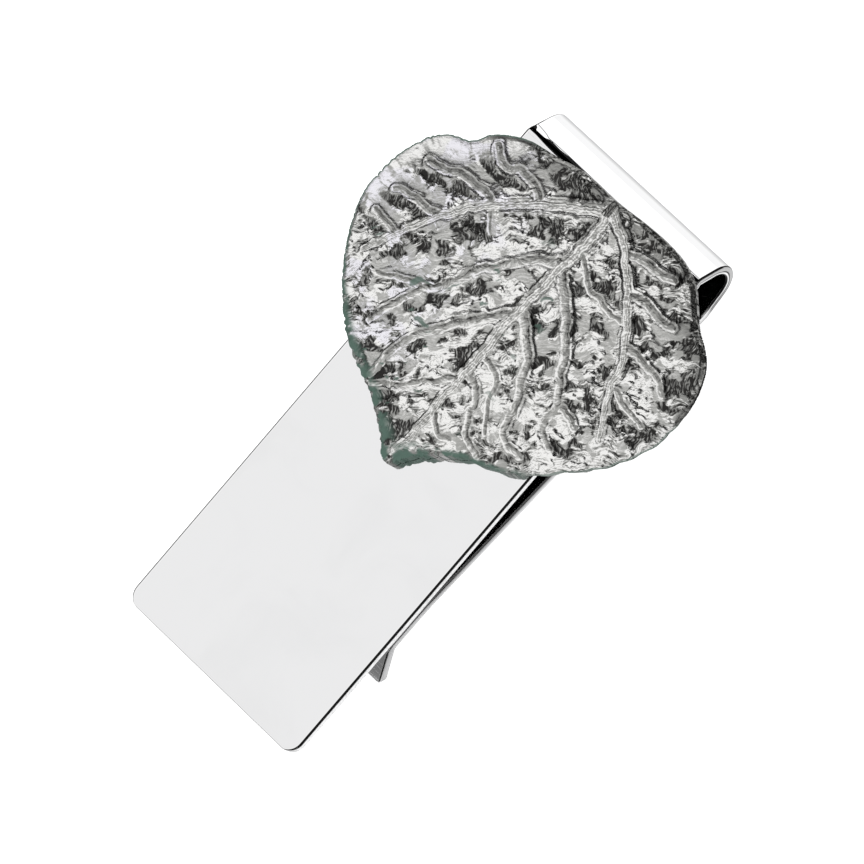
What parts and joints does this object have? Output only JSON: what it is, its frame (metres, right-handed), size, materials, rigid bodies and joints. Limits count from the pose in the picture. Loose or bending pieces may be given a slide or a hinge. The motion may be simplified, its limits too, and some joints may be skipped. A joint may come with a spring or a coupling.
{
  "type": "money clip",
  "caption": "Spring money clip: a polished metal strip folded into a rolled end and a back arm with a thumb lip, its front carrying a domed cast leaf with raised veins",
  "frame": {"origin": "on the surface the clip stands on, under the middle of its outline", "axes": "+X across the clip, +Y along it towards the rolled end, +Z out of the leaf side"},
  "size_m": [0.0421, 0.0635, 0.0097],
  "materials": {
    "polished_strip": "mirror polish",
    "cast_leaf": "antiqued cast pewter with bright high spots",
    "bond": "clear set adhesive"
  },
  "bodies": {
    "front": {"front_plate": "polished_strip", "spring_roll": "polished_strip", "leaf": "cast_leaf", "bond_film": "bond"},
    "arm": {"spring_arm": "polished_strip"}
  },
  "joints": [
    {"name": "arm_flex", "type": "hinge", "parent": "front", "child": "arm", "pos_m": [0, 0.0284, 0.0034], "axis": [1, 0, 0], "range_deg": [0, 8], "stiffness_Nm_per_rad": 1.2, "springref_deg": -2.86, "deforming": ["spring_roll"]}
  ]
}
